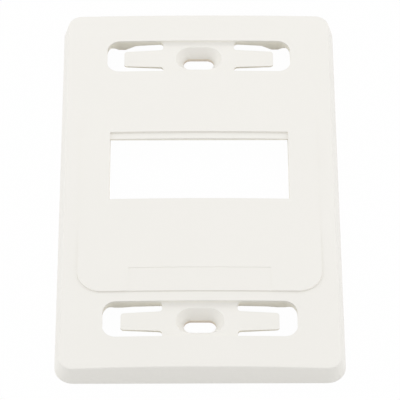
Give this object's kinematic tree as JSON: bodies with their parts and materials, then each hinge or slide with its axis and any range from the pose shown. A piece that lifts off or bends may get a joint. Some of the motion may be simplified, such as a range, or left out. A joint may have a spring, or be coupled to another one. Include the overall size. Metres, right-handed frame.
{
  "type": "wall faceplate for snap-in data jacks",
  "caption": "Moulded off-white wall faceplate in the single gang size, with a wide window for snap-in data jacks and label wells with spring tongues round its countersunk screw slots.",
  "frame": {"origin": "centre of the back rim plane, on the wall side", "axes": "+Z out of the face, away from the wall; +Y along the plate to the end above the window; +X to the right seen from the front"},
  "size_m": [0.0698, 0.1142, 0.0059],
  "materials": {
    "plastic": "smooth moulded off-white plastic with a soft low sheen"
  },
  "bodies": {
    "root": {"faceplate": "plastic"}
  },
  "joints": []
}
